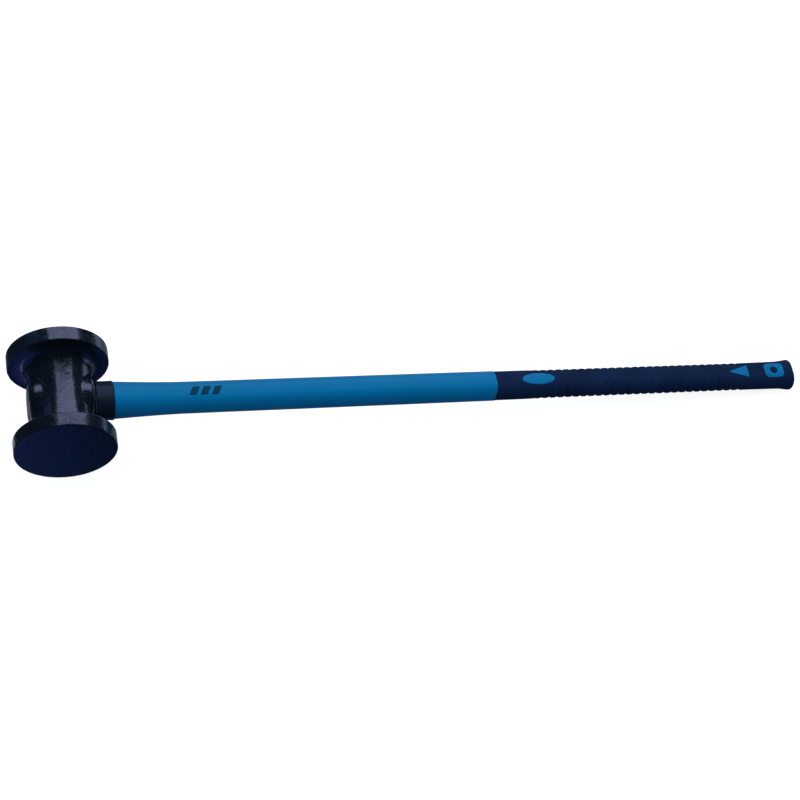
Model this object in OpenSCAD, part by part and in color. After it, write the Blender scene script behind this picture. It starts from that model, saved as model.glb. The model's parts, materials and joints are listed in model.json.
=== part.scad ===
// Fencing maul: a cast-iron head with two broad striking discs on a long fibreglass handle.
// Millimetres, +Z up. The maul lies on its side, as it is put down on the ground: the head's
// axis runs along Y, the handle runs towards +X, and both discs and the butt touch Z = 0.
// The origin is the middle of the footprint, on the ground.

/* [Head] */
// Diameter of each striking disc
disc_d = 112.4; // [102:0.2:122]
// Thickness of each disc at its rim
disc_t = 17.5; // [12:0.5:20]
// Length of the head from one striking face to the other
head_l = 126.5; // [120:0.5:136]
// Diameter of the barrel between the discs
barrel_d = 69; // [66:0.5:72]
// Radius of the fillet where the barrel runs into a disc
barrel_fillet = 9; // [3:0.5:11]
// Radius on the rim edges of the discs
rim_round = 1.2; // [0.4:0.2:4]

/* [Eye] */
// Distance from the head's centre to the flat face at each end of the eye
boss_reach = 37; // [36:0.25:39]
// Width of the raised boss around the eye, along the head
boss_w = 68; // [60:0.5:74]
// Height of the raised boss around the eye, in its middle
boss_h = 54; // [50:0.5:58]
// Height of the eye
eye_h = 27; // [25:0.5:28]
// Length of the resin dam packed in at the handle's end of the eye
dam_l = 6; // [3:0.5:10]

/* [Core] */
// Height of the fibreglass core
core_h = 17; // [14:0.5:17.5]
// How far the core's end sits below the face of the eye
core_set_back = 0.8; // [0.2:0.1:3]

/* [Handle] */
// Length of the handle from the far face of the eye to the butt
handle_l = 907.8; // [890:0.2:960]
// How much wider than high every oval on the handle is, from the eye to the butt
oval_extra = 9; // [7:0.5:10]
// Height of the jacket at the shoulder next to the collar
shoulder_h = 34; // [33:0.1:35]
// Height of the jacket once the neck has tapered in
neck_h = 28.5; // [28:0.1:30]
// Height of the jacket where the grip begins
waist_h = 27.3; // [26.4:0.1:28]
// Distance from the head's centre to the end of the neck's taper
neck_end = 135; // [120:1:138]

/* [Collar] */
// Length of the rubber collar against the head
collar_l = 19.6; // [16:0.2:28]
// Height of the collar
collar_h = 36.3; // [35.5:0.1:39]
// Height of the jacket inside the collar
spigot_h = 29; // [28.5:0.1:30]

/* [Grip] */
// Length of the grip from its front edge to the butt
grip_l = 375.5; // [360:0.5:385]
// Height of the jacket under the grip
under_h = 21.4; // [20:0.1:22]
// Least height of the grip
grip_h = 24.6; // [24.2:0.1:25.4]
// Height of the flare at the butt
flare_h = 28.6; // [27:0.1:31]
// Distance between neighbouring rib grooves
groove_pitch = 9.5; // [8:0.1:9.8]
// Depth of a rib groove
groove_depth = 0.9; // [0.4:0.1:1.1]
// Number of rib grooves on each edge of the grip
groove_count = 26; // [5:1:26]

/* [Hidden] */
$fn = 96;

disc_r = disc_d / 2;
barrel_r = barrel_d / 2;
half_head = head_l / 2;
butt_x = handle_l - boss_reach;
grip_x = butt_x - grip_l;
collar_end = boss_reach + collar_l;
resin_set_back = core_set_back / 2;
boss_ball_r = 43;
oval_shift = oval_extra / 2;

// The butt: a flare, and a rounded corner that runs smoothly into a shallow dome.
flare_r = flare_h / 2;
butt_depth = 6.5;
butt_corner = 4;
corner_shift = flare_r - butt_corner;
flare_x = butt_x - butt_depth;
dome_r = (pow(corner_shift, 2) + pow(butt_depth, 2) - pow(butt_corner, 2))
    / (2 * (butt_depth - butt_corner));
dome_edge = dome_r * corner_shift / (dome_r - butt_corner);
under_end = butt_x - 4;
core_end = butt_x - 10;

// Windows in the grip through which the jacket shows, by their distance from the butt.
oval_x = butt_x - 323.6;
oval_size = [39.6, 15];
arrow_x = butt_x - 73.4;
arrow_size = [25.2, 16.5];
badge_x = butt_x - 27.5;
badge_size = [24, 19];
badge_corner = 5.5;
badge_hole_d = 9;
groove_x = butt_x - 309.5;

// The printed mark: slanted bars of foil on the upper face of the jacket.
bar_x = 139;
bar_count = 3;
bar_pitch = 12.5;
bar_size = [8, 11];
bar_slant = 5;
foil_t = 0.12;

// The lie of the maul: the handle slopes until the flare of the butt meets the ground.
lie = asin(disc_r / norm([flare_x, flare_r])) - atan2(flare_r, flare_x);
middle_x = (butt_x * cos(lie) - disc_r) / 2;

// Half height of the jacket at a share t of the way along the neck's taper.
function neck_r(t) = neck_h / 2 + (shoulder_h - neck_h) / 2 * pow(1 - t, 1.5);

neck_points = [for (i = [0:8]) [neck_r(i / 8), collar_end + (neck_end - collar_end) * i / 8]];
// Half height of the grip, by its distance from the grip's front edge.
grip_run = [
    [0, grip_h / 2 + 0.7],
    [28, grip_h / 2 + 0.65],
    [66, grip_h / 2 + 0.4],
    [130, grip_h / 2 + 0.3],
    [203, grip_h / 2 + 0.2],
    [283, grip_h / 2],
    [310, grip_h / 2],
    [343, grip_h / 2 + 0.2],
    [356, grip_h / 2 + 0.5],
    [flare_x - grip_x, flare_r]
];
grip_points = [for (p = grip_run) [p.y, grip_x + p.x]];

// Moves a maul drawn about the head's centre into its lie on the ground.
module laid_down() {
    translate([-middle_x, 0, disc_r]) rotate([0, lie, 0]) children();
}

// A body with an oval section along the handle: a round edge at each side, and a flat between
// them. Its outline gives [half height, distance from the head's centre].
module oval_body() {
    rotate([0, 90, 0]) {
        for (side = [-1, 1]) translate([0, side * oval_shift, 0]) rotate_extrude() children();
        rotate([90, 0, 0]) linear_extrude(oval_extra, center = true) {
            children();
            mirror([1, 0]) children();
        }
    }
}

module oval_bar(height, from, to) {
    oval_body() translate([0, from]) square([height / 2, to - from]);
}

module rounded_rectangle(length, width, corner) {
    square([length - 2 * corner, width], center = true);
    square([length, width - 2 * corner], center = true);
    for (x = [-1, 1], y = [-1, 1])
        translate([x * (length / 2 - corner), y * (width / 2 - corner)]) circle(corner);
}

// Half of the head's section: the barrel, the fillet and the disc with its rounded rim.
module head_outline() {
    inner_face = half_head - disc_t;
    square([barrel_r, half_head]);
    translate([0, inner_face]) square([disc_r - rim_round, disc_t]);
    translate([0, inner_face + rim_round]) square([disc_r, disc_t - 2 * rim_round]);
    for (y = [inner_face + rim_round, half_head - rim_round])
        translate([disc_r - rim_round, y]) circle(rim_round);
    difference() {
        translate([0, inner_face - barrel_fillet])
            square([barrel_r + barrel_fillet, barrel_fillet]);
        translate([barrel_r + barrel_fillet, inner_face - barrel_fillet]) circle(barrel_fillet);
    }
}

// The boss round the eye: it has a flat end at each side and a crowned face above and below, and
// it is rounded where it would stand out beyond a ball.
module eye_boss() {
    crown_r = (pow(boss_w, 2) + pow(boss_h, 2)) / (4 * boss_h);
    intersection() {
        rotate([0, 90, 0]) linear_extrude(2 * boss_reach, center = true) intersection() {
            translate([crown_r - boss_h / 2, 0]) circle(crown_r);
            translate([boss_h / 2 - crown_r, 0]) circle(crown_r);
        }
        rotate([0, 90, 0]) rotate_extrude() intersection() {
            circle(boss_ball_r);
            translate([0, -boss_ball_r]) square([boss_ball_r, 2 * boss_ball_r]);
        }
    }
}

module head_casting() {
    color("#15161c") laid_down() difference() {
        union() {
            rotate([90, 0, 0]) rotate_extrude() {
                head_outline();
                mirror([0, 1]) head_outline();
            }
            eye_boss();
        }
        oval_bar(eye_h, -boss_reach - 1, boss_reach + 1);
    }
}

module core() {
    oval_bar(core_h, core_set_back - boss_reach, core_end);
}

module fibreglass_core() {
    color("#c9b98a") laid_down() core();
}

module eye_resin() {
    color("#2a2622") laid_down() difference() {
        oval_bar(eye_h, resin_set_back - boss_reach, boss_reach - dam_l);
        core();
    }
}

module resin_dam() {
    color("#d8d4c8") laid_down() difference() {
        oval_bar(eye_h, boss_reach - dam_l, boss_reach);
        core();
    }
}

module collar_outline() {
    end_round = 1.5;
    translate([0, boss_reach]) square([collar_h / 2, collar_l - end_round]);
    translate([0, boss_reach]) square([collar_h / 2 - end_round, collar_l]);
    translate([collar_h / 2 - end_round, collar_end - end_round]) circle(end_round);
}

module neck_collar() {
    color("#141a26") laid_down() difference() {
        oval_body() collar_outline();
        oval_bar(spigot_h, boss_reach - 1, collar_end + 1);
    }
}

module jacket_front() {
    oval_body() polygon(concat(
        [[0, boss_reach], [spigot_h / 2, boss_reach], [spigot_h / 2, collar_end]],
        neck_points,
        [[waist_h / 2, grip_x], [0, grip_x]]
    ));
}

module jacket_under_grip() {
    oval_bar(under_h, grip_x, under_end);
}

// The outside of the grip, from its front edge to the butt.
module grip_body() {
    oval_body() {
        polygon(concat(grip_points, [[0, flare_x], [0, grip_x]]));
        intersection() {
            translate([0, butt_x - dome_r]) circle(dome_r);
            translate([0, flare_x]) square([dome_edge, butt_depth]);
        }
        intersection() {
            translate([corner_shift, flare_x]) circle(butt_corner);
            translate([0, flare_x]) square([flare_r, butt_corner]);
        }
    }
}

module oval_window() {
    polygon([for (a = [0:10:350]) [oval_size.x / 2 * cos(a), oval_size.y / 2 * sin(a)]]);
}

module arrow_window() {
    polygon([
        [-arrow_size.x / 2, 0],
        [arrow_size.x / 2, -arrow_size.y / 2],
        [arrow_size.x / 2, arrow_size.y / 2]
    ]);
}

module badge_window() {
    difference() {
        rounded_rectangle(badge_size.x, badge_size.y, badge_corner);
        circle(d = badge_hole_d);
    }
}

// Stands the outline drawn as children on the upper and lower faces of the jacket under the
// grip, reaching well outside the grip.
module on_both_faces() {
    for (face = [0, 1]) mirror([0, 0, face])
        translate([0, 0, core_h / 2 + 0.5]) linear_extrude(flare_r) children();
}

module window_posts() {
    on_both_faces() {
        translate([oval_x, 0]) oval_window();
        translate([arrow_x, 0]) arrow_window();
        translate([badge_x, 0]) badge_window();
    }
}

module pad_posts() {
    on_both_faces() translate([badge_x, 0]) circle(d = badge_hole_d);
}

module jacket_solid() {
    jacket_front();
    jacket_under_grip();
    intersection() {
        grip_body();
        window_posts();
    }
}

module shaft_jacket() {
    color("#0a6ea8") laid_down() difference() {
        jacket_solid();
        core();
    }
}

// Grooves round both edges of the grip, so that the rubber between them stands as ribs.
module rib_grooves() {
    groove_r = 2.2;
    for (i = [0:groove_count - 1], side = [0, 1]) {
        x = groove_x + i * groove_pitch;
        ring_r = lookup(x - grip_x, grip_run) + groove_r - groove_depth;
        mirror([0, side, 0]) translate([x, oval_shift, 0]) rotate([0, 90, 0])
            rotate_extrude(angle = 180) translate([ring_r, 0]) circle(groove_r, $fn = 32);
    }
}

module grip_sleeve() {
    color("#101c3a") laid_down() difference() {
        grip_body();
        jacket_under_grip();
        window_posts();
        pad_posts();
        rib_grooves();
    }
}

module badge_pads() {
    color("#101c3a") laid_down() difference() {
        intersection() {
            grip_body();
            pad_posts();
        }
        jacket_under_grip();
    }
}

module foil_bar() {
    polygon([[0, 0], [bar_size.x, 0], [bar_size.x + bar_slant, bar_size.y], [bar_slant, bar_size.y]]);
}

// The jacket's oval grown by the given amount, over the stretch that carries the foil.
module print_zone(grow) {
    oval_body() polygon([
        [0, neck_end],
        [neck_h / 2 + grow, neck_end],
        [waist_h / 2 + grow, grip_x],
        [0, grip_x]
    ]);
}

module foil_mark() {
    color("#0b2430") laid_down() intersection() {
        difference() {
            print_zone(foil_t);
            print_zone(0);
        }
        for (i = [0:bar_count - 1])
            translate([bar_x + i * bar_pitch, -bar_size.y / 2, 0])
                linear_extrude(shoulder_h) foil_bar();
    }
}

head_casting();
eye_resin();
resin_dam();
fibreglass_core();
neck_collar();
shaft_jacket();
grip_sleeve();
badge_pads();
foil_mark();
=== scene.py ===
"""Looks of the fencing maul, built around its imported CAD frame.

Lengths are in metres. Shapes are laid out about the head's centre, with the handle along +X,
the head's axis along Y and +Z up, and then laid down as the frame lies.
"""

import json
import math

import bpy
from mathutils import Matrix, Vector, noise


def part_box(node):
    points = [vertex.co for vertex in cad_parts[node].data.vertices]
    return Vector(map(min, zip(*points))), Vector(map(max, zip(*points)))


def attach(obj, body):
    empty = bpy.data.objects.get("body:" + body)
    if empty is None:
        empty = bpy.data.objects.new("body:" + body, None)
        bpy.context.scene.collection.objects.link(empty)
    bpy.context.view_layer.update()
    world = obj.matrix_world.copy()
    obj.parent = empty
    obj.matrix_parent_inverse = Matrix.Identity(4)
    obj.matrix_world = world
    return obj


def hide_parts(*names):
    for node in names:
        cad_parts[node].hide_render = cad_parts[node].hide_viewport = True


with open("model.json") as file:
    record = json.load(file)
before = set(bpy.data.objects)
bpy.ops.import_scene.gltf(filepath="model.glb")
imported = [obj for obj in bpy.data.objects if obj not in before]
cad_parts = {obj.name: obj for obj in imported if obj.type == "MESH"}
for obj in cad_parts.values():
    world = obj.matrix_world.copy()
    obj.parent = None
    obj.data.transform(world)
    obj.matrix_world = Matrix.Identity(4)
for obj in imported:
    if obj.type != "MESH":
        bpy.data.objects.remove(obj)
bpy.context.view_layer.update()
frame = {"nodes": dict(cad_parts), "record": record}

MM = 0.001

# The frame's own sizes: where the head is, how the handle lies, and how long it is.
HEAD_LOW, HEAD_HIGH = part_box("head_casting")
HEAD_CENTRE = (HEAD_LOW + HEAD_HIGH) / 2
DISC_R = (HEAD_HIGH.z - HEAD_LOW.z) / 2
HALF_HEAD = (HEAD_HIGH.y - HEAD_LOW.y) / 2
MOUNTS = {mount["name"]: mount for mount in frame["record"]["mounts"]}
HANDLE_AXIS = Vector(MOUNTS["rack_clip"]["axis"]).normalized()
BUTT_GAP = 0.05 * MM  # how far the butt's dome stays inside the sleeve's own box
BUTT = (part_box("grip_sleeve")[1].x - HEAD_CENTRE.x) / HANDLE_AXIS.x - BUTT_GAP

# Head: discs, barrel, and the boss round the eye. The barrel's radius grows by its flare, per
# metre, times the square of the distance past its straight middle.
DISC_T = 17.5 * MM
BARREL_R = 34 * MM
BARREL_STRAIGHT = 4 * MM
BARREL_FLARE = 1.7
FILLET_R = 9 * MM
RIM_ROUND = 1.2 * MM
BOSS_REACH = 37 * MM
BOSS_HALF_HEIGHT = 27 * MM
BOSS_HALF_WIDTH = 34 * MM
BOSS_CROWN_R = (BOSS_HALF_WIDTH**2 + BOSS_HALF_HEIGHT**2) / (2 * BOSS_HALF_HEIGHT)
BOSS_BALL_R = 43 * MM
BOSS_SHARPNESS = 18
BOSS_BLEND = 3 * MM

# Cast skin: how far it lies inside the nominal shape, and how much that varies
SKIN_DEPTH = 0.16 * MM
SKIN_WAVES = 0.12 * MM
FACE_WAVES = 0.03 * MM

# Handle: how far the oval's round edges are moved apart, and how softly that sets in
OVAL_SHIFT = 4.5 * MM
OVAL_SOFTNESS = 0.02

# Handle: half heights of the oval, and where its stretches begin and end
EYE_HALF = 13.5 * MM
SHOULDER_HALF = 17 * MM
NECK_HALF = 14.15 * MM
WAIST_HALF = 13.45 * MM
GRIP_HALF = 12.3 * MM
FLARE_HALF = 14.3 * MM
COLLAR_HALF = 18.15 * MM
COLLAR_END = BOSS_REACH + 19.6 * MM
NECK_END = 135 * MM
GRIP_START = BUTT - 374.3 * MM
JOINT_HALF = WAIST_HALF - 2.4 * MM  # the jacket's end and the grip's edge both turn in to here
BUTT_DEPTH = 6.5 * MM
BUTT_CORNER = 4 * MM
FLARE_X = BUTT - BUTT_DEPTH

# The grip as (distance from its front edge, half height)
GRIP_RUN = [
    (0, GRIP_HALF + 0.7 * MM),
    (28 * MM, GRIP_HALF + 0.65 * MM),
    (66 * MM, GRIP_HALF + 0.4 * MM),
    (130 * MM, GRIP_HALF + 0.3 * MM),
    (203 * MM, GRIP_HALF + 0.2 * MM),
    (283 * MM, GRIP_HALF),
    (310 * MM, GRIP_HALF),
    (343 * MM, GRIP_HALF + 0.2 * MM),
    (356 * MM, GRIP_HALF + 0.5 * MM),
    (FLARE_X - GRIP_START, FLARE_HALF),
]

# Collar: it starts just inside the boss's face, and its far end has the larger rounding.
COLLAR_START = BOSS_REACH - 0.35 * MM
COLLAR_BORE_HALF = 14.6 * MM
COLLAR_LIP = 0.8 * MM
COLLAR_ROUND = 1.5 * MM
COLLAR_WAIST = 0.25 * MM
COLLAR_INSET = 1.2 * MM

# Jacket: the narrow spigot in the collar, the shoulder, the mould's marks and the end's lip
SPIGOT_START = BOSS_REACH + 1 * MM
SPIGOT_HALF = 14.5 * MM
SHOULDER_START = COLLAR_END + 0.1 * MM
SHOULDER_ROUND = 0.7 * MM
SKIN_START = COLLAR_END + 1 * MM
PARTING_DEPTH = 0.1 * MM
PARTING_WIDTH = 0.035
JACKET_WAVES = 0.05 * MM
JACKET_LIP = 0.35 * MM

# Grip: its front lip, its grain, and the spacing of the mesh's rings
GRIP_GAP = 0.05 * MM
GRIP_LIP = 0.5 * MM
GRIP_GRAIN = 0.04 * MM
GRIP_ROW = 0.6 * MM

# The grip's front edge reaches further towards the head round the edges than on the flats.
FRONT_BOW = 2.8 * MM
FRONT_BOW_RUN = 14 * MM

# The spine: a smooth strip on each flat face, with a fine line along both of its sides. Its side,
# the line's width and the grooves' sides are cosines: 0 amid a flat face, 1 at the oval's edge.
SPINE_START = BUTT - 309.5 * MM
SPINE_END = BUTT - 72 * MM
SPINE_FADE = 6 * MM
SPINE_SIDE = 0.24
SPINE_LINE_WIDTH = 0.035
SPINE_LINE_DEPTH = 0.3 * MM

# Ribs: grooves round both edges of the grip, the first few of them fading in
GROOVE_PITCH = 9.5 * MM
GROOVE_START = SPINE_START - 2 * GROOVE_PITCH
GROOVE_COUNT = 28
GROOVE_DEPTH = 1.15 * MM
GROOVE_WIDTH = 1.65 * MM
GROOVE_SLANT = 2.2 * MM
GROOVE_SIDE = (0.22, 0.42)

# Raised parts of the jacket in the grip, the rubber pads, and the pockets that they stand in
RAISED_PROUD = 0.2 * MM
RAISED_DEPTH = 1.4 * MM
RAISED_EDGE = 0.45 * MM
PAD_PROUD = 0.05 * MM
PAD_GAP = 0.5 * MM
POCKET_DEPTH = 0.8 * MM
POCKET_GAP = 0.45 * MM
OVAL_X = BUTT - 323.6 * MM
OVAL_SIZE = (39.6 * MM, 15 * MM)
ARROW_X = BUTT - 73.4 * MM
ARROW_SIZE = (25.2 * MM, 16.5 * MM)
ARROW_CORNER = 0.9 * MM
BADGE_X = BUTT - 27.5 * MM
BADGE_SIZE = (24 * MM, 19 * MM)
BADGE_CORNER = 5.5 * MM
BADGE_HOLE_R = 4.5 * MM

# Small moulded dots on the flat faces of the grip
DOT_PLACES = [(BUTT - 365 * MM, 2 * MM), (BUTT - 353 * MM, 0.0), (BUTT - 49 * MM, 0.0)]
DOT_R = 1.5 * MM
DOT_RISE = 0.45 * MM

# Printed mark
BAR_X = 139 * MM
BAR_COUNT = 3
BAR_PITCH = 12.5 * MM
BAR_SIZE = (8 * MM, 11 * MM)
BAR_SLANT = 5 * MM
FOIL_T = 0.12 * MM

# Tint of the shine on the jacket and the foil
BLUE_SHINE = (0.02, 0.6, 1.0, 1)

# Camera, in the maul's own axes
CAMERA_AZIMUTH = math.radians(-26.83)
CAMERA_ELEVATION = math.radians(55.86)
CAMERA_ROLL = math.radians(20.456)
CAMERA_DISTANCE = 2.305
CAMERA_TARGET = Vector((0.3812, -0.0141, 0))
CAMERA_LENS_MM = 91.08


def lie_matrix():
    """From the maul's own axes to the frame's: the handle slopes down to the ground."""
    across = Vector((0, 1, 0))
    up = HANDLE_AXIS.cross(across)
    turn = Matrix((HANDLE_AXIS, across, up)).transposed().to_4x4()
    return Matrix.Translation(HEAD_CENTRE) @ turn


LIE = lie_matrix()


def smooth_step(low, high, value):
    t = min(max((value - low) / (high - low), 0.0), 1.0)
    return t * t * (3 - 2 * t)


def smooth_max(a, b, blend):
    h = max(blend - abs(a - b), 0.0) / blend
    return max(a, b) + h * h * blend / 4


def quarter_turn(steps):
    """Angles through a quarter turn, both ends among them, for rounded edges."""
    return [math.pi / 2 * i / steps for i in range(steps + 1)]


def interpolate(x, table):
    """Cubic curve through the table's points, level before the first and after the last."""
    if x <= table[0][0]:
        return table[0][1]
    for i in range(len(table) - 1):
        (x0, y0), (x1, y1) = table[i], table[i + 1]
        if x > x1:
            continue
        before = table[max(i - 1, 0)]
        after = table[min(i + 2, len(table) - 1)]
        slope0 = (y1 - before[1]) / (x1 - before[0])
        slope1 = (after[1] - y0) / (after[0] - x0)
        t, span = (x - x0) / (x1 - x0), x1 - x0
        return (
            (2 * t**3 - 3 * t**2 + 1) * y0
            + (t**3 - 2 * t**2 + t) * span * slope0
            + (3 * t**2 - 2 * t**3) * y1
            + (t**3 - t**2) * span * slope1
        )
    return table[-1][1]


# Meshes


def finish_piece(obj, material, node):
    """Gives a piece its finish, puts it on the maul and hides the CAD node it stands for."""
    obj.data.materials.clear()
    obj.data.materials.append(material)
    for face in obj.data.polygons:
        face.use_smooth = True
    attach(obj, "root")
    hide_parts(node)


def mesh_object(name, points, faces):
    """A mesh piece from points in the maul's own axes."""
    mesh = bpy.data.meshes.new(name)
    mesh.from_pydata([LIE @ Vector(p) for p in points], [], faces)
    mesh.validate()
    obj = bpy.data.objects.new(name, mesh)
    bpy.context.collection.objects.link(obj)
    return obj


def loft(name, rings, close_start=False, close_end=False):
    """A skin over rings of equal length, each a closed loop of points."""
    size = len(rings[0])
    points = [p for ring in rings for p in ring]
    faces = []
    for i in range(len(rings) - 1):
        for j in range(size):
            k = (j + 1) % size
            faces.append((i * size + j, i * size + k, (i + 1) * size + k, (i + 1) * size + j))
    if close_start:
        points.append(sum(rings[0], Vector()) / size)
        faces += [((j + 1) % size, j, len(points) - 1) for j in range(size)]
    if close_end:
        last = (len(rings) - 1) * size
        points.append(sum(rings[-1], Vector()) / size)
        faces += [(last + j, last + (j + 1) % size, len(points) - 1) for j in range(size)]
    return mesh_object(name, points, faces)


def oval_y(half, cosine):
    """Sideways place on the handle's oval: round edges, with an even blend into the flat."""
    return OVAL_SHIFT * cosine / math.sqrt(cosine * cosine + OVAL_SOFTNESS) + half * cosine


def oval_ring(x, half, count, lower=None):
    """One loop of the handle's oval. lower(x, angle) sinks the surface, for ribs and pockets."""
    ring = []
    for j in range(count):
        angle = 2 * math.pi * j / count
        depth = lower(x, angle) if lower else 0.0
        cosine, sine = math.cos(angle), math.sin(angle)
        ring.append(Vector((x, oval_y(half, cosine) - depth * cosine, (half - depth) * sine)))
    return ring


def oval_height(half, y):
    """Height of the oval's upper face at a sideways place y."""
    low, high = 0.0, 1.0
    for _ in range(24):
        middle = (low + high) / 2
        if oval_y(half, middle) < abs(y):
            low = middle
        else:
            high = middle
    return half * math.sqrt(max(1 - low * low, 0.0))


def jacket_half(x):
    """Half height of the jacket at a distance x from the head."""
    if x < NECK_END:
        t = (x - COLLAR_END) / (NECK_END - COLLAR_END)
        return NECK_HALF + (SHOULDER_HALF - NECK_HALF) * max(1 - t, 0) ** 1.5
    share = (x - NECK_END) / (GRIP_START - NECK_END)
    return NECK_HALF + (WAIST_HALF - NECK_HALF) * share


def grip_half(x):
    return interpolate(x - GRIP_START, GRIP_RUN)


def bow_front_edge(rings):
    """Bends rings near the grip's front edge towards the head, most of all round the edges."""
    for ring in rings:
        for j, point in enumerate(ring):
            cosine = math.cos(2 * math.pi * j / len(ring))
            share = 1 - smooth_step(0, FRONT_BOW_RUN, abs(point.x - GRIP_START))
            point.x -= FRONT_BOW * cosine * cosine * share


# Head


def boss_radius(cosine, sine, y):
    """Reach of the boss round the eye, from the head's axis, in one direction."""
    if abs(y) >= BOSS_HALF_WIDTH:
        return 0.0
    thinnest = 0.1 * MM
    height = math.sqrt(BOSS_CROWN_R**2 - y**2) - BOSS_CROWN_R + BOSS_HALF_HEIGHT
    ball = math.sqrt(BOSS_BALL_R**2 - y**2)
    limits = ((abs(cosine), BOSS_REACH), (abs(sine), max(height, thinnest)), (1, ball))
    total = sum((part / limit) ** BOSS_SHARPNESS for part, limit in limits)
    return total ** (-1 / BOSS_SHARPNESS)


def head_profile():
    """Half of the head's section as (distance along its axis, radius), from middle to face.

    The radius is None on the barrel, where barrel_radius gives it for each direction.
    """
    barrel_steps, back_steps, rim_steps, round_steps, face_steps = 44, 6, 12, 6, 22
    inner = HALF_HEAD - DISC_T
    rows = [(inner * i / barrel_steps, None) for i in range(barrel_steps + 1)]
    foot, edge = barrel_draft(inner) + FILLET_R, DISC_R - RIM_ROUND
    for i in range(1, back_steps + 1):
        rows.append((inner, foot + (edge - foot) * i / back_steps))
    rim_low, rim_high = inner + RIM_ROUND, HALF_HEAD - RIM_ROUND
    for turn in quarter_turn(round_steps)[1:]:
        rows.append((rim_low - RIM_ROUND * math.cos(turn), edge + RIM_ROUND * math.sin(turn)))
    for i in range(1, rim_steps):
        rows.append((rim_low + (rim_high - rim_low) * i / rim_steps, DISC_R))
    for turn in quarter_turn(round_steps):
        rows.append((rim_high + RIM_ROUND * math.sin(turn), edge + RIM_ROUND * math.cos(turn)))
    for i in range(1, face_steps):
        rows.append((HALF_HEAD, edge * (1 - i / face_steps)))
    return rows


def barrel_draft(y):
    """Radius of the bare barrel: straight in the middle, and then opening a little outwards."""
    return BARREL_R + BARREL_FLARE * max(abs(y) - BARREL_STRAIGHT, 0.0) ** 2


def barrel_radius(y, cosine, sine):
    """Radius of the barrel between the discs, with its fillets and the boss round the eye."""
    start = HALF_HEAD - DISC_T - FILLET_R
    radius = barrel_draft(y)
    if abs(y) > start:
        radius += FILLET_R - math.sqrt(max(FILLET_R**2 - (abs(y) - start) ** 2, 0))
    return smooth_max(radius, boss_radius(cosine, sine, y), BOSS_BLEND)


def cast_depth(point, machined):
    """How far the skin lies inside the nominal shape: hardly at all on the machined faces."""
    if machined:
        return FACE_WAVES * (1 + noise.noise(point * 60))
    layers = ((1, 45), (0.5, 110), (0.25, 240))
    waves = sum(share * noise.noise(point * scale) for share, scale in layers)
    return max(SKIN_DEPTH + SKIN_WAVES * waves, 0)


def build_head(material):
    """The iron casting: both discs, the barrel and the boss, with the eye cut through them."""
    count = 384
    half = head_profile()
    rows = [(-y, r) for y, r in reversed(half[1:])] + half
    rings = []
    for y, radius in rows:
        ring = []
        for j in range(count):
            angle = 2 * math.pi * j / count
            cosine, sine = math.cos(angle), math.sin(angle)
            r = barrel_radius(y, cosine, sine) if radius is None else radius
            place = Vector((r * cosine, y, r * sine))
            on_flat = radius is not None and r < DISC_R - RIM_ROUND
            outside = abs(y) > HALF_HEAD - DISC_T / 2
            depth = cast_depth(place, on_flat and outside)
            if on_flat:
                place.y -= math.copysign(depth, y) * (1 if outside else -1)
            else:
                place.x -= depth * cosine
                place.z -= depth * sine
            ring.append(place)
        rings.append(ring)
    head = loft("head_casting_skin", rings, close_start=True, close_end=True)
    cut_eye(head)
    finish_piece(head, material, "head_casting")


def cut_eye(head):
    """Cuts the oval eye right through the head."""
    reach = 1.5 * BOSS_REACH
    rings = [oval_ring(x, EYE_HALF, 96) for x in (-reach, reach)]
    cutter = loft("eye_cutter", rings, close_start=True, close_end=True)
    cut = head.modifiers.new("eye", "BOOLEAN")
    cut.operation = "DIFFERENCE"
    cut.solver = "EXACT"
    cut.object = cutter
    bake_modifiers(head)
    bpy.data.objects.remove(cutter)


def bake_modifiers(obj):
    """Applies an object's modifiers to its mesh."""
    graph = bpy.context.evaluated_depsgraph_get()
    mesh = bpy.data.meshes.new_from_object(obj.evaluated_get(graph))
    obj.modifiers.clear()
    obj.data = mesh


# Handle


def build_collar(material):
    """The rubber collar: a sleeve with rounded ends, and a shallow waist between them."""
    count, rows = 160, 20
    rings = [oval_ring(COLLAR_START, COLLAR_BORE_HALF, count)]
    for turn in quarter_turn(6):
        x = COLLAR_START + COLLAR_LIP * (1 - math.cos(turn))
        rings.append(oval_ring(x, COLLAR_HALF - COLLAR_LIP * (1 - math.sin(turn)), count))
    start, end = BOSS_REACH + COLLAR_LIP, COLLAR_END - COLLAR_ROUND
    for i in range(1, rows):
        t = i / rows
        x = start + (end - start) * t
        rings.append(oval_ring(x, COLLAR_HALF - COLLAR_WAIST * math.sin(math.pi * t), count))
    for turn in quarter_turn(8):
        x = COLLAR_END - COLLAR_ROUND * (1 - math.sin(turn))
        rings.append(oval_ring(x, COLLAR_HALF - COLLAR_ROUND * (1 - math.cos(turn)), count))
    rings.append(oval_ring(COLLAR_END, SHOULDER_HALF - COLLAR_INSET, count))
    collar = loft("neck_collar_rubber", rings)
    finish_piece(collar, material, "neck_collar")


def jacket_depth(x, angle):
    """The jacket's skin: slow moulding waves, and a faint ridge where the mould closed."""
    ridge = PARTING_DEPTH * smooth_step(PARTING_WIDTH, 0.0, abs(math.sin(angle)))
    wave = JACKET_WAVES * (1 + noise.noise(Vector((x * 12, math.cos(angle), math.sin(angle)))))
    return wave - ridge


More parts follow.
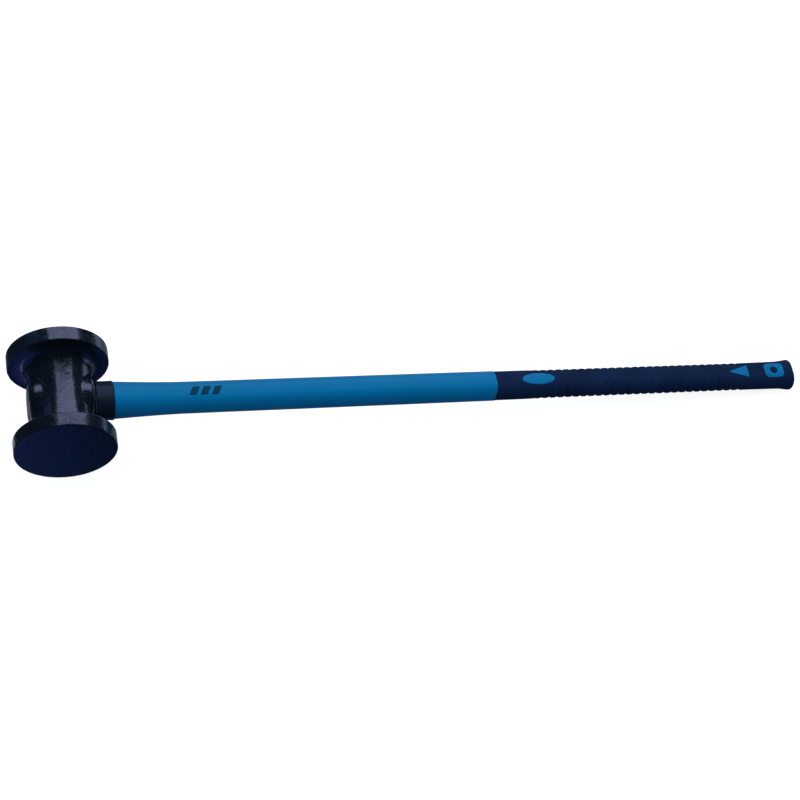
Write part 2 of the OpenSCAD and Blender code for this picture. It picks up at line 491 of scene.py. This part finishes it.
def build_jacket(material):
    """The blue jacket, from its spigot in the collar to the grip's front edge."""
    count, rows = 192, 300
    rings = [oval_ring(x, SPIGOT_HALF, count) for x in (SPIGOT_START, SHOULDER_START)]
    for turn in quarter_turn(5):
        x = SHOULDER_START + SHOULDER_ROUND * (1 - math.cos(turn))
        rings.append(oval_ring(x, jacket_half(x) - SHOULDER_ROUND * (1 - math.sin(turn)), count))
    end = GRIP_START - JACKET_LIP
    for i in range(rows + 1):
        x = SKIN_START + (end - SKIN_START) * i / rows
        rings.append(oval_ring(x, jacket_half(x), count, jacket_depth))
    for turn in quarter_turn(5)[1:]:
        x = end + JACKET_LIP * math.sin(turn)
        rings.append(oval_ring(x, jacket_half(x) - JACKET_LIP * (1 - math.cos(turn)), count))
    rings.append(oval_ring(GRIP_START, JOINT_HALF, count))
    bow_front_edge(rings)
    jacket = loft("shaft_jacket_skin", rings)
    finish_piece(jacket, material, "shaft_jacket")


def ellipse_outline(length, width, count=96):
    turns = [2 * math.pi * i / count for i in range(count)]
    return [(length / 2 * math.cos(a), width / 2 * math.sin(a)) for a in turns]


def rounded_outline(corners, radius, count=12):
    """A loop round a polygon, anticlockwise, with its corners rounded."""
    loop = []
    for i, corner in enumerate(corners):
        here = Vector(corner)
        back = (Vector(corners[i - 1]) - here).normalized()
        ahead = (Vector(corners[(i + 1) % len(corners)]) - here).normalized()
        half = back.angle(ahead) / 2
        centre = here + (back + ahead).normalized() * radius / math.sin(half)
        start = here + back * radius / math.tan(half) - centre
        sweep = math.pi - 2 * half
        for k in range(count + 1):
            turn = Matrix.Rotation(sweep * k / count, 2)
            loop.append(tuple(centre + turn @ start))
    return fill_straights(loop, 1 * MM)


def fill_straights(loop, step):
    """Adds points along the long edges of a loop, so that it can follow a curved surface."""
    filled = []
    for i, here in enumerate(loop):
        ahead = loop[(i + 1) % len(loop)]
        gap = math.dist(here, ahead)
        parts = max(int(gap / step), 1)
        for k in range(parts):
            t = k / parts
            filled.append((here[0] + (ahead[0] - here[0]) * t, here[1] + (ahead[1] - here[1]) * t))
    return filled


def arrow_outline():
    length, width = ARROW_SIZE
    corners = [(-length / 2, 0), (length / 2, -width / 2), (length / 2, width / 2)]
    return rounded_outline(corners, ARROW_CORNER)


def badge_outline():
    length, width = BADGE_SIZE[0] / 2, BADGE_SIZE[1] / 2
    corners = [(-length, -width), (length, -width), (length, width), (-length, width)]
    return rounded_outline(corners, BADGE_CORNER)


def raised_piece(name, x, outline, face, proud, hole_r=0.0):
    """A raised part that follows the grip's face, with a rounded edge. face is 1 up, -1 down."""
    steps = 14

    def ring_at(share, rise, inward=0.0):
        """The outline moved in by a length, and then by a share of the way to hole or middle."""
        ring = []
        for px, py in outline:
            length = math.hypot(px, py)
            reach = length - inward
            if hole_r:
                reach += (hole_r + inward - reach) * share
            else:
                reach *= 1 - share
            qx, qy = px / length * reach, py / length * reach
            height = oval_height(grip_half(x + qx), qy) + rise
            ring.append(Vector((x + qx, face * qy, face * height)))
        return ring

    low_edge = proud - RAISED_EDGE
    rings = [ring_at(0, -RAISED_DEPTH), ring_at(0, low_edge)]
    for turn in quarter_turn(5)[1:]:
        inward = RAISED_EDGE * (1 - math.cos(turn))
        rings.append(ring_at(0, low_edge + RAISED_EDGE * math.sin(turn), inward))
    rings += [ring_at(i / steps, proud, RAISED_EDGE) for i in range(1, steps)]
    if hole_r:
        rings.append(ring_at(1, proud, RAISED_EDGE))
        rings += [ring_at(1, low_edge), ring_at(1, -RAISED_DEPTH)]
    return loft(name, rings, close_end=not hole_r)


def build_raised_parts(jacket_material, rubber_material):
    """The oval, the arrow and the badge on both faces, and the rubber pad in each badge."""
    shapes = {
        "oval": (OVAL_X, ellipse_outline(*OVAL_SIZE), 0.0),
        "arrow": (ARROW_X, arrow_outline(), 0.0),
        "badge": (BADGE_X, badge_outline(), BADGE_HOLE_R),
    }
    pad_width = 2 * BADGE_HOLE_R - PAD_GAP
    pad_outline = ellipse_outline(pad_width, pad_width, 48)
    for face, side in ((1, "upper"), (-1, "lower")):
        for name, (x, outline, hole_r) in shapes.items():
            piece = raised_piece(f"jacket_{name}_{side}", x, outline, face, RAISED_PROUD, hole_r)
            finish_piece(piece, jacket_material, "shaft_jacket")
        pad = raised_piece(f"badge_pad_{side}", BADGE_X, pad_outline, face, PAD_PROUD)
        finish_piece(pad, rubber_material, "badge_pads")


def groove_depth(x, angle):
    """Depth of the rib grooves, which slant across each round edge and stop at the flats."""
    cosine = math.cos(angle)
    side = smooth_step(*GROOVE_SIDE, abs(cosine))
    if side == 0:
        return 0.0
    along = x - GROOVE_START - GROOVE_SLANT * (1 - abs(cosine))
    step = min(max(round(along / GROOVE_PITCH), 0), GROOVE_COUNT - 1)
    offset = (along - step * GROOVE_PITCH) / GROOVE_WIDTH
    fade = smooth_step(GROOVE_START - GROOVE_PITCH, GROOVE_START + 2 * GROOVE_PITCH, x)
    return GROOVE_DEPTH * side * fade * math.exp(-offset * offset)


def spine_depth(x, angle):
    """Fine lines beside the smooth spine on each flat face, along the ribbed stretch."""
    along = smooth_step(SPINE_START - SPINE_FADE, SPINE_START, x)
    along *= smooth_step(SPINE_END + SPINE_FADE, SPINE_END, x)
    offset = (abs(math.cos(angle)) - SPINE_SIDE) / SPINE_LINE_WIDTH
    return SPINE_LINE_DEPTH * along * math.exp(-offset * offset)


def inside_outline(x, y, outline):
    """True if a point is inside a closed loop."""
    inside = False
    for i, (x1, y1) in enumerate(outline):
        x0, y0 = outline[i - 1]
        if (y0 > y) != (y1 > y) and x < x0 + (x1 - x0) * (y - y0) / (y1 - y0):
            inside = not inside
    return inside


def grown(outline, amount):
    """The outline moved outwards from its middle by an amount."""
    return [
        (x * (1 + amount / math.hypot(x, y)), y * (1 + amount / math.hypot(x, y)))
        for x, y in outline
    ]


def grip_pockets():
    """The pockets of the raised parts, each as (middle, outline, half length, half width)."""
    shapes = {OVAL_X: ellipse_outline(*OVAL_SIZE), ARROW_X: arrow_outline(), BADGE_X: badge_outline()}
    pockets = []
    for middle, shape in shapes.items():
        outline = grown(shape, POCKET_GAP)
        pockets.append((middle, outline, max(x for x, y in outline), max(y for x, y in outline)))
    return pockets


def dot_rise(x, y):
    """Height of the small moulded dots on the flat faces."""
    for dot_x, dot_y in DOT_PLACES:
        gap = math.hypot(x - dot_x, y - dot_y)
        if gap < DOT_R:
            return DOT_RISE * math.sqrt(1 - (gap / DOT_R) ** 2)
    return 0.0


def build_grip(material):
    """The rubber grip, from its front lip to the dome of the butt."""
    count = 208
    pockets = grip_pockets()

    def lower(x, angle):
        """How far the grip's surface lies below its plain oval."""
        depth = groove_depth(x, angle) + spine_depth(x, angle)
        y = oval_y(grip_half(x), math.cos(angle))
        for middle, outline, reach_x, reach_y in pockets:
            near = abs(x - middle) <= reach_x and abs(y) <= reach_y
            if near and inside_outline(x - middle, y, outline):
                depth += POCKET_DEPTH
        grain = noise.noise(Vector((x * 500, math.cos(angle) * 6, math.sin(angle) * 6)))
        return depth - dot_rise(x, y) + GRIP_GRAIN * (1 + grain)

    rings = [oval_ring(GRIP_START, JOINT_HALF, count)]
    for turn in quarter_turn(5):
        x = GRIP_START + GRIP_GAP + GRIP_LIP * (1 - math.cos(turn))
        rings.append(oval_ring(x, grip_half(x) - GRIP_LIP * (1 - math.sin(turn)), count))
    start = GRIP_START + GRIP_GAP + GRIP_LIP
    rows = int((FLARE_X - start) / GRIP_ROW)
    for i in range(1, rows + 1):
        x = start + (FLARE_X - start) * i / rows
        rings.append(oval_ring(x, grip_half(x), count, lower))
    rings += butt_rings(count)
    bow_front_edge(rings)
    grip = loft("grip_sleeve_rubber", rings, close_end=True)
    finish_piece(grip, material, "grip_sleeve")


def butt_rings(count):
    """The rounded corner of the butt, and its shallow dome, which narrows to a round middle."""
    corner_steps, dome_steps = 8, 16
    shift = FLARE_HALF - BUTT_CORNER
    dome_r = (shift**2 + BUTT_DEPTH**2 - BUTT_CORNER**2) / (2 * (BUTT_DEPTH - BUTT_CORNER))
    corner_turn = math.acos(shift / (dome_r - BUTT_CORNER))
    rings = []
    for i in range(1, corner_steps + 1):
        turn = corner_turn * i / corner_steps
        x = FLARE_X + BUTT_CORNER * math.sin(turn)
        rings.append(oval_ring(x, shift + BUTT_CORNER * math.cos(turn), count))
    dome_turn = math.pi / 2 - corner_turn
    for i in range(1, dome_steps):
        turn = dome_turn * (1 - i / dome_steps)
        ring = oval_ring(BUTT - dome_r * (1 - math.cos(turn)), dome_r * math.sin(turn), count)
        narrower = OVAL_SHIFT * (1 - math.sin(turn) / math.sin(dome_turn))
        for point in ring:
            point.y -= math.copysign(min(narrower, abs(point.y)), point.y)
        rings.append(ring)
    return rings


def build_mark(material):
    """The printed mark: plain slanted bars on the jacket's upper face."""
    columns, rows = 16, 24
    width, height = BAR_SIZE
    for bar in range(BAR_COUNT):
        points = []
        for level in (0.0, FOIL_T):
            for i in range(rows + 1):
                y = height * (i / rows - 0.5)
                shift = BAR_SLANT * i / rows
                for k in range(columns + 1):
                    x = BAR_X + bar * BAR_PITCH + shift + width * k / columns
                    z = oval_height(jacket_half(x), y) + level
                    points.append(Vector((x, y, z)))
        mark = mesh_object(f"foil_bar_{bar + 1}", points, slab_faces(columns, rows))
        finish_piece(mark, material, "foil_mark")


def slab_faces(columns, rows):
    """Faces of a thin closed slab whose two sides are grids of the same size."""
    across = columns + 1
    top = across * (rows + 1)
    faces = []
    for i in range(rows):
        for k in range(columns):
            a = i * across + k
            faces.append((a, a + across, a + across + 1, a + 1))
            faces.append((top + a, top + a + 1, top + a + across + 1, top + a + across))
    for k in range(columns):
        b = rows * across + k
        faces.append((k, k + 1, top + k + 1, top + k))
        faces.append((b + 1, b, top + b, top + b + 1))
    for i in range(rows):
        a, b = i * across, i * across + columns
        faces.append((a + across, a, top + a, top + a + across))
        faces.append((b, b + across, top + b + across, top + b))
    return faces


# Materials


class Finish:
    """A node material under construction, with its Principled shader at hand."""

    def __init__(self, name):
        self.material = bpy.data.materials.new(name)
        self.material.use_nodes = True
        self.nodes = self.material.node_tree.nodes
        self.links = self.material.node_tree.links
        self.shader = self.nodes["Principled BSDF"]
        self.place = self.nodes.new("ShaderNodeTexCoord").outputs["Object"]

    def set(self, **sockets):
        for name, value in sockets.items():
            self.shader.inputs[name.replace("_", " ")].default_value = value

    def noise(self, scale, detail=4.0, roughness=0.55, stretch=None):
        """Noise over the surface, scale in cells a metre. stretch scales each axis first."""
        node = self.nodes.new("ShaderNodeTexNoise")
        node.inputs["Scale"].default_value = scale
        node.inputs["Detail"].default_value = detail
        node.inputs["Roughness"].default_value = roughness
        self.links.new(self.stretched(stretch) if stretch else self.place, node.inputs["Vector"])
        return node.outputs["Fac"]

    def stretched(self, stretch):
        node = self.nodes.new("ShaderNodeMapping")
        node.inputs["Scale"].default_value = stretch
        self.links.new(self.place, node.inputs["Vector"])
        return node.outputs["Vector"]

    def ramp(self, value, stops):
        """A colour ramp through (position, colour) stops."""
        node = self.nodes.new("ShaderNodeValToRGB")
        while len(node.color_ramp.elements) < len(stops):
            node.color_ramp.elements.new(0.5)
        for element, (position, colour) in zip(node.color_ramp.elements, stops):
            element.position = position
            element.color = (*colour, 1)
        self.links.new(value, node.inputs["Fac"])
        return node.outputs["Color"]

    def spread(self, value, low, high, from_low=0.3, from_high=0.7):
        """A value mapped on to the range from low to high."""
        node = self.nodes.new("ShaderNodeMapRange")
        node.inputs["From Min"].default_value = from_low
        node.inputs["From Max"].default_value = from_high
        node.inputs["To Min"].default_value = low
        node.inputs["To Max"].default_value = high
        self.links.new(value, node.inputs["Value"])
        return node.outputs["Result"]

    def mix(self, share, colour_a, colour_b):
        """A blend of two colours, all the second where share is 1."""
        node = self.nodes.new("ShaderNodeMix")
        node.data_type = "RGBA"
        self.links.new(share, node.inputs["Factor"])
        for name, colour in (("A", colour_a), ("B", colour_b)):
            socket = next(s for s in node.inputs if s.name == name and s.type == "RGBA")
            socket.default_value = (*colour, 1)
        return next(s for s in node.outputs if s.type == "RGBA")

    def cells(self, scale):
        """Distance to the nearest of many scattered points, scale in cells a metre."""
        node = self.nodes.new("ShaderNodeTexVoronoi")
        node.inputs["Scale"].default_value = scale
        self.links.new(self.place, node.inputs["Vector"])
        return node.outputs["Distance"]

    def beyond(self, axis, start, end):
        """0 up to a distance along an axis of the piece, either way, rising to 1 at the end."""
        split = self.nodes.new("ShaderNodeSeparateXYZ")
        self.links.new(self.place, split.inputs[0])
        size = self.nodes.new("ShaderNodeMath")
        size.operation = "ABSOLUTE"
        self.links.new(split.outputs[axis], size.inputs[0])
        return self.spread(size.outputs["Value"], 0, 1, start, end)

    def bump(self, height, strength, distance):
        """Adds a layer of bump on top of those already there. strength may vary by place."""
        node = self.nodes.new("ShaderNodeBump")
        if isinstance(strength, float):
            node.inputs["Strength"].default_value = strength
        else:
            self.links.new(strength, node.inputs["Strength"])
        node.inputs["Distance"].default_value = distance
        self.links.new(height, node.inputs["Height"])
        previous = self.shader.inputs["Normal"].links
        if previous:
            self.links.new(previous[0].from_socket, node.inputs["Normal"])
        self.links.new(node.outputs["Normal"], self.shader.inputs["Normal"])

    def link(self, value, socket):
        self.links.new(value, self.shader.inputs[socket])


def enamel_material():
    """Black enamel over sand-cast iron, which is much smoother on the machined faces."""
    f = Finish("black_enamel")
    f.set(Specular_IOR_Level=0.8, Specular_Tint=(0.5, 0.56, 1.0, 1))
    cloud = f.noise(22, 3)
    base = f.ramp(cloud, [(0.35, (0.0018, 0.0048, 0.0080)), (0.7, (0.0028, 0.0066, 0.0120))])
    f.link(base, "Base Color")
    f.link(f.spread(f.noise(420, 4, 0.65), 0.1, 0.34, 0.5, 0.66), "Roughness")
    on_face = f.beyond("Y", HALF_HEAD - RIM_ROUND, HALF_HEAD - RIM_ROUND / 3)
    f.bump(f.noise(440, 3, 0.6), f.spread(on_face, 0.32, 0.06, 0, 1), 0.00028)
    f.bump(f.noise(1500, 2), 0.2, 0.00006)
    f.bump(f.spread(f.cells(480), 0, 1, 0.1, 0.3), f.spread(on_face, 0.4, 0.08, 0, 1), 0.00022)
    return f.material


def jacket_material():
    """Blue polypropylene with a satin moulded skin and faint scuffs along the handle."""
    f = Finish("blue_polypropylene")
    f.set(Specular_IOR_Level=0.28, Specular_Tint=BLUE_SHINE)
    cloud = f.noise(14, 3, stretch=(0.35, 1, 1))
    base = f.ramp(cloud, [(0.3, (0.0006, 0.100, 0.262)), (0.7, (0.0008, 0.112, 0.286))])
    f.link(base, "Base Color")
    scuffs = f.noise(420, 3, 0.6, stretch=(0.06, 1, 1))
    f.link(f.spread(scuffs, 0.3, 0.42), "Roughness")
    f.bump(f.noise(900, 2), 0.12, 0.0001)
    f.bump(scuffs, 0.05, 0.0001)
    return f.material


def rubber_material(name, dark, light, rough, gloss):
    """Matt moulded rubber with a fine grain."""
    f = Finish(name)
    f.set(Specular_IOR_Level=gloss, Specular_Tint=(0.35, 0.5, 1.0, 1))
    base = f.ramp(f.noise(30, 4), [(0.3, dark), (0.7, light)])
    f.link(base, "Base Color")
    f.link(f.spread(f.noise(260, 4), rough - 0.06, rough + 0.06), "Roughness")
    f.bump(f.noise(1500, 3, 0.6), 0.25, 0.00012)
    f.bump(f.noise(180, 2), 0.08, 0.0003)
    return f.material


def foil_material():
    """Dark hot-pressed foil, slightly worn through."""
    f = Finish("dark_foil")
    f.set(Specular_IOR_Level=0.2, Specular_Tint=BLUE_SHINE)
    worn = f.spread(f.noise(900, 5, 0.65), 0, 1, 0.6, 0.72)
    base = f.mix(worn, (0.0010, 0.022, 0.060), (0.001, 0.06, 0.14))
    f.link(base, "Base Color")
    f.link(f.spread(f.noise(300, 3), 0.35, 0.5), "Roughness")
    f.bump(f.noise(1200, 2), 0.1, 0.00005)
    return f.material


def resin_material():
    """Dark cured epoxy with small trapped bubbles."""
    f = Finish("cured_epoxy")
    f.set(Specular_IOR_Level=0.5, Coat_Weight=0.3, Coat_Roughness=0.15)
    base = f.ramp(f.noise(90, 5), [(0.3, (0.012, 0.010, 0.008)), (0.75, (0.035, 0.028, 0.02))])
    f.link(base, "Base Color")
    f.link(f.spread(f.noise(200, 4), 0.2, 0.4), "Roughness")
    f.bump(f.noise(350, 3), 0.35, 0.0004)
    return f.material


def core_material():
    """Pultruded glass fibre: pale resin, with strands along the handle."""
    f = Finish("glass_fibre")
    f.set(Specular_IOR_Level=0.45)
    strands = f.noise(900, 4, 0.6, stretch=(0.02, 1, 1))
    base = f.ramp(strands, [(0.3, (0.36, 0.30, 0.16)), (0.7, (0.62, 0.55, 0.36))])
    f.link(base, "Base Color")
    f.link(f.spread(strands, 0.35, 0.6), "Roughness")
    f.bump(strands, 0.3, 0.0002)
    return f.material


def foam_material():
    """Foamed cord of the resin dam."""
    f = Finish("foam_cord")
    base = f.ramp(f.noise(400, 4), [(0.3, (0.42, 0.40, 0.34)), (0.7, (0.62, 0.60, 0.53))])
    f.link(base, "Base Color")
    f.link(f.spread(f.noise(300, 3), 0.75, 0.95), "Roughness")
    f.bump(f.noise(900, 3), 0.5, 0.0004)
    return f.material


def finish_cad_nodes():
    """Gives the CAD nodes that stay in view their materials."""
    finishes = {
        "eye_resin": resin_material(),
        "fibreglass_core": core_material(),
        "resin_dam": foam_material(),
    }
    for node, material in finishes.items():
        mesh = frame["nodes"][node].data
        mesh.materials.clear()
        mesh.materials.append(material)


# Studio


def build_camera():
    """The camera, placed by its angles about the maul and rolled as the picture is."""
    level = math.cos(CAMERA_ELEVATION)
    back = Vector((
        math.sin(CAMERA_AZIMUTH) * level,
        -math.cos(CAMERA_AZIMUTH) * level,
        math.sin(CAMERA_ELEVATION),
    ))
    right = (-back).cross(Vector((0, 0, 1))).normalized()
    up = right.cross(-back)
    side = math.cos(CAMERA_ROLL) * right + math.sin(CAMERA_ROLL) * up
    top = math.cos(CAMERA_ROLL) * up - math.sin(CAMERA_ROLL) * right
    turn = Matrix((side, top, back)).transposed().to_4x4()
    data = bpy.data.cameras.new("camera")
    data.lens = CAMERA_LENS_MM
    camera = bpy.data.objects.new("camera", data)
    camera.matrix_world = LIE @ Matrix.Translation(CAMERA_TARGET + back * CAMERA_DISTANCE) @ turn
    bpy.context.collection.objects.link(camera)
    bpy.context.scene.camera = camera


def softbox(name, place, across, size, radiance, colour=(1, 1, 1), shift=(0, 0)):
    """A rectangular light at a place in the maul's own axes, turned to face the head.

    across is the direction of the first of its two sides. shift moves it in its own plane.
    """
    data = bpy.data.lights.new(name, "AREA")
    data.shape = "RECTANGLE"
    data.size, data.size_y = size
    data.color = colour
    data.energy = radiance * math.pi * size[0] * size[1]
    place = Vector(place)
    back = place.normalized()
    side = (Vector(across) - back * back.dot(Vector(across))).normalized()
    turn = Matrix((side, back.cross(side), back)).transposed().to_4x4()
    light = bpy.data.objects.new(name, data)
    light.matrix_world = LIE @ Matrix.Translation(place) @ turn @ Matrix.Translation((*shift, 0))
    light.visible_camera = False
    bpy.context.collection.objects.link(light)


def build_floor():
    """A pale floor that glows, so that the shadow on it stays faint."""
    half = 12.0
    corners = [(-half, -half, 0), (half, -half, 0), (half, half, 0), (-half, half, 0)]
    mesh = bpy.data.meshes.new("floor")
    mesh.from_pydata(corners, [], [(0, 1, 2, 3)])
    floor = bpy.data.objects.new("floor", mesh)
    bpy.context.collection.objects.link(floor)
    f = Finish("pale_floor")
    f.set(Base_Color=(0.3, 0.3, 0.3, 1), Roughness=0.9, Specular_IOR_Level=0.0)
    f.set(Emission_Color=(1, 1, 1, 1), Emission_Strength=0.85)
    mesh.materials.append(f.material)
    floor.visible_glossy = False
    floor.visible_diffuse = False


class WorldGraph:
    """Helpers for the node graph of the studio's surroundings."""

    def __init__(self):
        world = bpy.data.worlds.new("studio")
        world.use_nodes = True
        bpy.context.scene.world = world
        self.nodes, self.links = world.node_tree.nodes, world.node_tree.links
        self.toward = self.nodes.new("ShaderNodeTexCoord").outputs["Generated"]
        self.rays = self.nodes.new("ShaderNodeLightPath").outputs

    def slope(self, direction):
        """How far a direction of view agrees with the one given, from -1 to 1."""
        node = self.nodes.new("ShaderNodeVectorMath")
        node.operation = "DOT_PRODUCT"
        node.inputs[1].default_value = direction
        self.links.new(self.toward, node.inputs[0])
        return node.outputs["Value"]

    def ramp(self, value, start, end, low, high):
        """A value mapped from the range start to end on to the range low to high."""
        node = self.nodes.new("ShaderNodeMapRange")
        node.inputs["From Min"].default_value = start
        node.inputs["From Max"].default_value = end
        node.inputs["To Min"].default_value = low
        node.inputs["To Max"].default_value = high
        self.links.new(value, node.inputs["Value"])
        return node.outputs["Result"]

    def times(self, a, b):
        node = self.nodes.new("ShaderNodeMath")
        node.operation = "MULTIPLY"
        self.links.new(a, node.inputs[0])
        self.links.new(b, node.inputs[1])
        return node.outputs["Value"]

    def background(self, colour, strength):
        """Light of one colour. strength may vary by direction."""
        node = self.nodes.new("ShaderNodeBackground")
        node.inputs["Color"].default_value = (*colour, 1)
        if isinstance(strength, float):
            node.inputs["Strength"].default_value = strength
        else:
            self.links.new(strength, node.inputs["Strength"])
        return node.outputs["Background"]

    def choose(self, share, otherwise, chosen):
        """One background where share is 0, and another where it is 1."""
        node = self.nodes.new("ShaderNodeMixShader")
        self.links.new(share, node.inputs[0])
        self.links.new(otherwise, node.inputs[1])
        self.links.new(chosen, node.inputs[2])
        return node.outputs["Shader"]


def build_world():
    """White in view. Even light for matt surfaces, and a dark room over a pale floor for gloss."""
    w = WorldGraph()
    low, high = w.background((0.72, 0.82, 1.12), 0.17), w.background((0.93, 0.99, 1.0), 1.38)
    soft = w.choose(w.ramp(w.slope((0.0, 0.8, 0.6)), -1, 1, 0, 1), low, high)
    light = w.choose(w.rays["Is Glossy Ray"], soft, gloss_surroundings(w))
    seen = w.choose(w.rays["Is Camera Ray"], light, w.background((1, 1, 1), 1.0))
    w.links.new(seen, w.nodes["World Output"].inputs["Surface"])


def gloss_surroundings(w):
    """What gloss reflects: a dark room, and a floor lit at the handle's end and blue in front."""
    down, to_butt, to_front = w.slope((0, 0, -1)), w.slope((1, 0, 0)), w.slope((0, -1, 0))
    to_lit_side = w.slope((0.9, 0.43, 0))
    below = w.ramp(down, -0.03, 0.03, 0.03, 1.0)
    past_edge = w.ramp(down, 0.03, 0.12, 0.03, 1.0)
    steepness = w.ramp(down, 0.3, 0.48, 0.95, 0.25)
    beside = w.ramp(to_butt, -0.45, -0.1, 0.03, 0.25)
    shaded = w.ramp(to_butt, 0.02, 0.06, 0.36, 0.09)
    dim_floor = w.background((0.7, 0.8, 1.0), w.times(beside, below))
    lit_floor = w.background((0.75, 0.85, 1.0), w.times(steepness, past_edge))
    front_floor = w.background((0.15, 0.3, 1.0), w.times(shaded, below))
    floor = w.choose(w.ramp(to_lit_side, 0.6, 0.75, 0, 1), dim_floor, lit_floor)
    return w.choose(w.ramp(to_front, 0.0, 0.3, 0, 1), floor, front_floor)


def build_studio():
    """A key light beyond the maul and above it, and two cards for the enamel's left side."""
    build_world()
    build_floor()
    key = {"place": (0.286, 1.504, 1.288), "across": (0.976, 0, -0.216)}
    left = {"place": (-0.6, 0.56, 0.314), "across": (0, 0.268, 0.963)}
    low = {"place": (-0.071, 0.003, -0.045), "across": (0.45, 0.89, 0)}
    softbox("key_softbox", **key, size=(2.13, 0.92), radiance=2.35, shift=(0.06, -0.312))
    softbox("key_top_strip", **key, size=(2.13, 0.16), radiance=0.9, shift=(0.06, -0.692))
    softbox("left_card", **left, size=(0.43, 0.08), radiance=1.05, colour=(0.34, 0.4, 1.0))
    softbox("low_card", **low, size=(0.064, 0.014), radiance=0.85, colour=(0.85, 0.83, 1.0))
    bpy.context.scene.view_settings.view_transform = "Standard"


def build_maul():
    jacket = jacket_material()
    navy = (0.0030, 0.0106, 0.038), (0.0043, 0.0142, 0.051)
    black = (0.0028, 0.0082, 0.0160), (0.0040, 0.0110, 0.0215)
    rubber = rubber_material("navy_rubber", *navy, rough=0.62, gloss=0.06)
    collar = rubber_material("black_rubber", *black, rough=0.38, gloss=0.24)
    build_head(enamel_material())
    build_collar(collar)
    build_jacket(jacket)
    build_grip(rubber)
    build_raised_parts(jacket, rubber)
    build_mark(foil_material())
    finish_cad_nodes()


build_camera()
build_studio()
build_maul()
